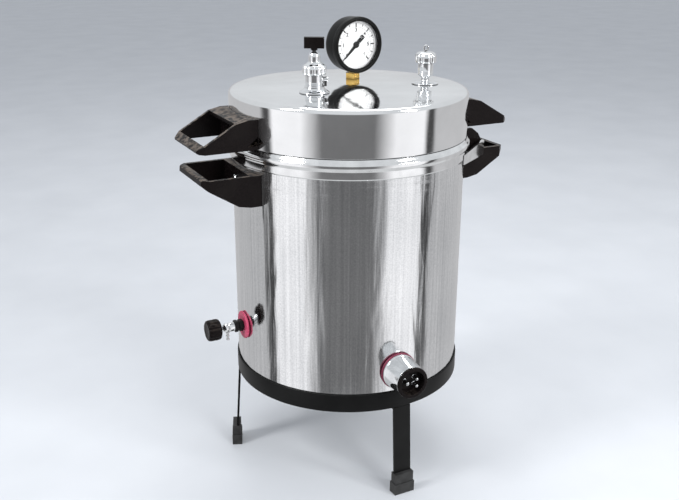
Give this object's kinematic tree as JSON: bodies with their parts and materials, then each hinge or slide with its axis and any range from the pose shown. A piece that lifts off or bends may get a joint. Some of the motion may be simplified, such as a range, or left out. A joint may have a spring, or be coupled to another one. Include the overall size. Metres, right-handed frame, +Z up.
{
  "type": "benchtop autoclave",
  "caption": "Portable electrically heated cooker-type autoclave on strip legs, with a bayonet lid, pressure gauge, steam and safety valves, drain cock, shelf and basket.",
  "frame": {"origin": "centre of the object's footprint at floor level; the vessel's own axis stands 17.6 mm behind it, at y = +0.0176 m", "axes": "+Z up, -Y to the front where the gauge dial and heater terminal face, handles along +X and -X"},
  "size_m": [0.4548, 0.3565, 0.6035],
  "materials": {
    "polished_aluminium": "polished, with faint turning rings and upright polishing streaks",
    "satin_aluminium": "satin",
    "chrome": "bright chrome plate",
    "steel": "plain bright steel",
    "brass": "bright turned brass",
    "black_enamel": "semi-gloss black enamel",
    "black_moulding": "moulded phenolic with worn edges",
    "black_rubber": "matt moulded rubber",
    "maroon_rubber": "matt maroon sealing rubber",
    "pink_rubber": "matt red sealing rubber",
    "clear_glass": "clear flat window",
    "white_dial": "white dial with grey and black scale marks"
  },
  "bodies": {
    "vessel": {"vessel_shell": "polished_aluminium", "vessel_rim_ring": "polished_aluminium", "base_band": "black_enamel", "leg_front": "black_enamel", "foot_front": "black_rubber", "leg_screw_front": "steel", "leg_right": "black_enamel", "foot_right": "black_rubber", "leg_screw_right": "steel", "leg_left": "black_enamel", "foot_left": "black_rubber", "leg_screw_left": "steel", "vessel_handle_right": "black_moulding", "vessel_handle_screw_right": "steel", "vessel_handle_left": "black_moulding", "vessel_handle_screw_left": "steel", "drain_inner_nut": "steel", "drain_inner_seal": "black_rubber", "drain_washer": "pink_rubber", "drain_lock_nut": "black_enamel", "drain_cock_body": "chrome", "heater_gasket": "maroon_rubber", "heater_terminal_can": "chrome", "heater_insulator": "black_moulding", "heater_pin_live": "brass", "heater_pin_neutral": "brass", "heater_pin_earth": "brass", "heater_element": "steel", "heater_nut": "steel", "perforated_shelf": "satin_aluminium"},
    "basket": {"instrument_basket": "satin_aluminium"},
    "lid_seal": {"lid_gasket": "black_rubber"},
    "lid": {"lid_shell": "polished_aluminium", "lid_handle_right": "black_moulding", "lid_handle_screw_right": "steel", "lid_handle_left": "black_moulding", "lid_handle_screw_left": "steel", "steam_valve_base": "chrome", "steam_valve_cap": "chrome", "steam_valve_nut": "steel", "safety_valve_base": "chrome", "safety_valve_cap": "chrome", "safety_valve_nut": "steel", "safety_valve_spring": "steel", "gauge_case": "black_enamel", "gauge_bezel": "black_enamel", "gauge_glass": "clear_glass", "gauge_dial": "white_dial", "gauge_bourdon_tube": "brass", "gauge_stem": "brass", "gauge_nut": "steel"},
    "steam_spindle": {"steam_valve_spindle": "steel"},
    "steam_tee": {"steam_valve_tee_handle": "black_moulding"},
    "safety_stem": {"safety_valve_stem": "steel"},
    "gauge_needle": {"gauge_pointer": "black_enamel"},
    "drain_needle": {"drain_needle": "steel"},
    "drain_knob": {"drain_knob": "black_moulding"}
  },
  "joints": [
    {"name": "lid_lift", "type": "slide", "parent": "vessel", "child": "lid_seal", "axis": [0, 0, 1], "range_m": [0, 0.3]},
    {"name": "lid_turn", "type": "hinge", "parent": "lid_seal", "child": "lid", "pos_m": [0, 0.0176, 0.48], "axis": [0, 0, 1], "range_deg": [0, 30]},
    {"name": "basket_lift", "type": "slide", "parent": "vessel", "child": "basket", "axis": [0, 0, 1], "range_m": [0, 0.07]},
    {"name": "steam_valve_rise", "type": "slide", "parent": "lid", "child": "steam_spindle", "axis": [0, 0, 1], "range_m": [0, 0.003]},
    {"name": "steam_valve_turn", "type": "hinge", "parent": "steam_spindle", "child": "steam_tee", "pos_m": [-0.0601, 0.0024, 0.58], "axis": [0, 0, 1], "range_deg": [0, 720]},
    {"name": "safety_valve_lift", "type": "slide", "parent": "lid", "child": "safety_stem", "axis": [0, 0, 1], "range_m": [0, 0.003], "deforming": ["safety_valve_spring"]},
    {"name": "gauge_needle_turn", "type": "hinge", "parent": "lid", "child": "gauge_needle", "pos_m": [0.0415, 0.0739, 0.566], "axis": [0, 1, 0], "range_deg": [0, 270]},
    {"name": "drain_needle_move", "type": "slide", "parent": "vessel", "child": "drain_needle", "axis": [-0.9962, 0.0872, 0], "range_m": [0, 0.002]},
    {"name": "drain_knob_turn", "type": "hinge", "parent": "drain_needle", "child": "drain_knob", "pos_m": [-0.19525, 0.03468, 0.211], "axis": [-0.9962, 0.0872, 0], "range_deg": [0, 720]}
  ],
  "couplings": [
    {"joint": "steam_valve_rise", "follows": "steam_valve_turn", "m_per_rad": 0.00023873},
    {"joint": "drain_needle_move", "follows": "drain_knob_turn", "m_per_rad": 0.00015915}
  ]
}
